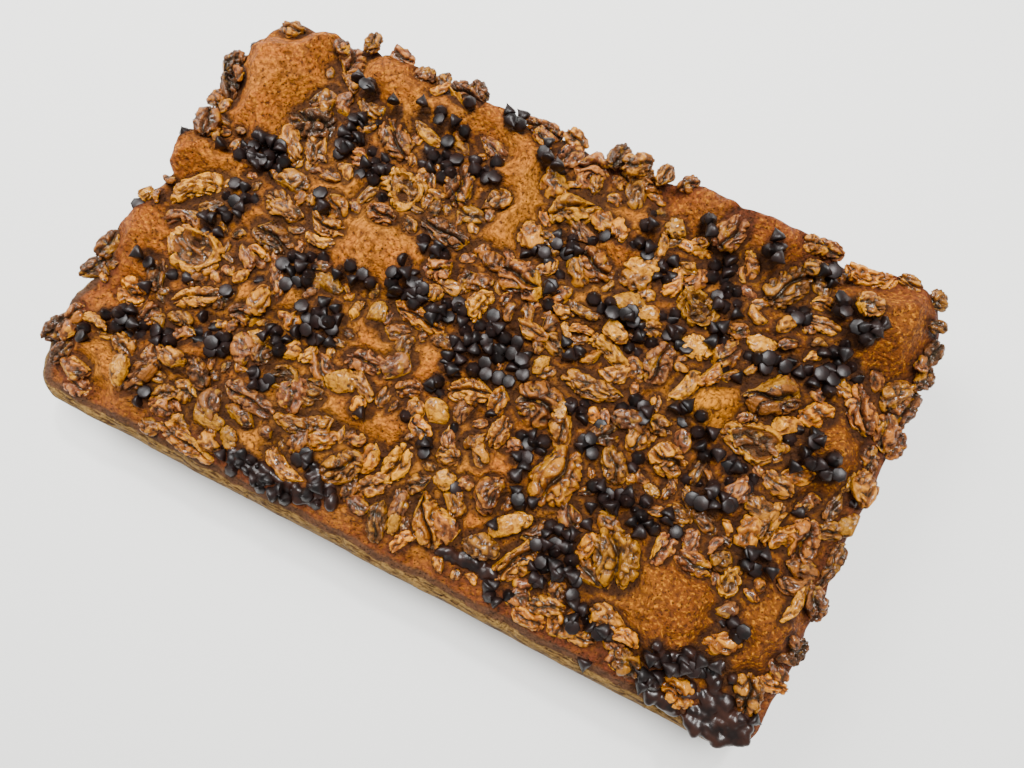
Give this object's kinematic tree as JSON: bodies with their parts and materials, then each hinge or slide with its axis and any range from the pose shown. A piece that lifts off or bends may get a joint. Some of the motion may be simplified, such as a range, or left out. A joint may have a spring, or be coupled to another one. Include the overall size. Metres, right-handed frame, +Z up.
{
  "type": "walnut and chocolate chip sponge slab cake",
  "caption": "Oblong orange-brown sponge slab baked whole, its crust risen in rough domes round walnut pieces and drifts of small chocolate chips.",
  "frame": {"origin": "middle of the flat underside, on the surface the cake stands on", "axes": "+X along the slab's length to the right as seen in the picture, +Y to its back edge, +Z up"},
  "size_m": [0.3228, 0.1959, 0.0566],
  "materials": {
    "crust": null,
    "walnut": null
  },
  "bodies": {
    "root": {"sponge_slab": "crust", "walnut_01": "walnut", "walnut_02": "walnut", "walnut_03": "walnut", "walnut_04": "walnut", "walnut_05": "walnut", "walnut_06": "walnut", "walnut_07": "walnut", "walnut_08": "walnut", "walnut_09": "walnut", "walnut_10": "walnut", "walnut_11": "walnut", "walnut_12": "walnut", "walnut_13": "walnut", "walnut_14": "walnut", "walnut_15": "walnut", "walnut_16": "walnut", "walnut_17": "walnut", "walnut_18": "walnut", "walnut_19": "walnut", "walnut_20": "walnut", "walnut_21": "walnut", "walnut_22": "walnut", "walnut_23": "walnut", "walnut_24": "walnut", "walnut_25": "walnut", "walnut_26": "walnut", "walnut_27": "walnut", "walnut_28": "walnut", "walnut_29": "walnut", "walnut_30": "walnut", "walnut_31": "walnut", "walnut_32": "walnut", "walnut_33": "walnut", "walnut_34": "walnut", "walnut_35": "walnut", "walnut_36": "walnut", "walnut_37": "walnut", "walnut_38": "walnut", "walnut_39": "walnut", "walnut_40": "walnut", "walnut_41": "walnut", "walnut_42": "walnut", "walnut_43": "walnut", "walnut_44": "walnut", "walnut_45": "walnut", "walnut_46": "walnut", "walnut_47": "walnut", "walnut_48": "walnut", "walnut_49": "walnut", "walnut_50": "walnut", "walnut_51": "walnut", "walnut_52": "walnut", "walnut_53": "walnut", "walnut_54": "walnut", "walnut_55": "walnut", "walnut_56": "walnut", "walnut_57": "walnut"}
  },
  "joints": []
}
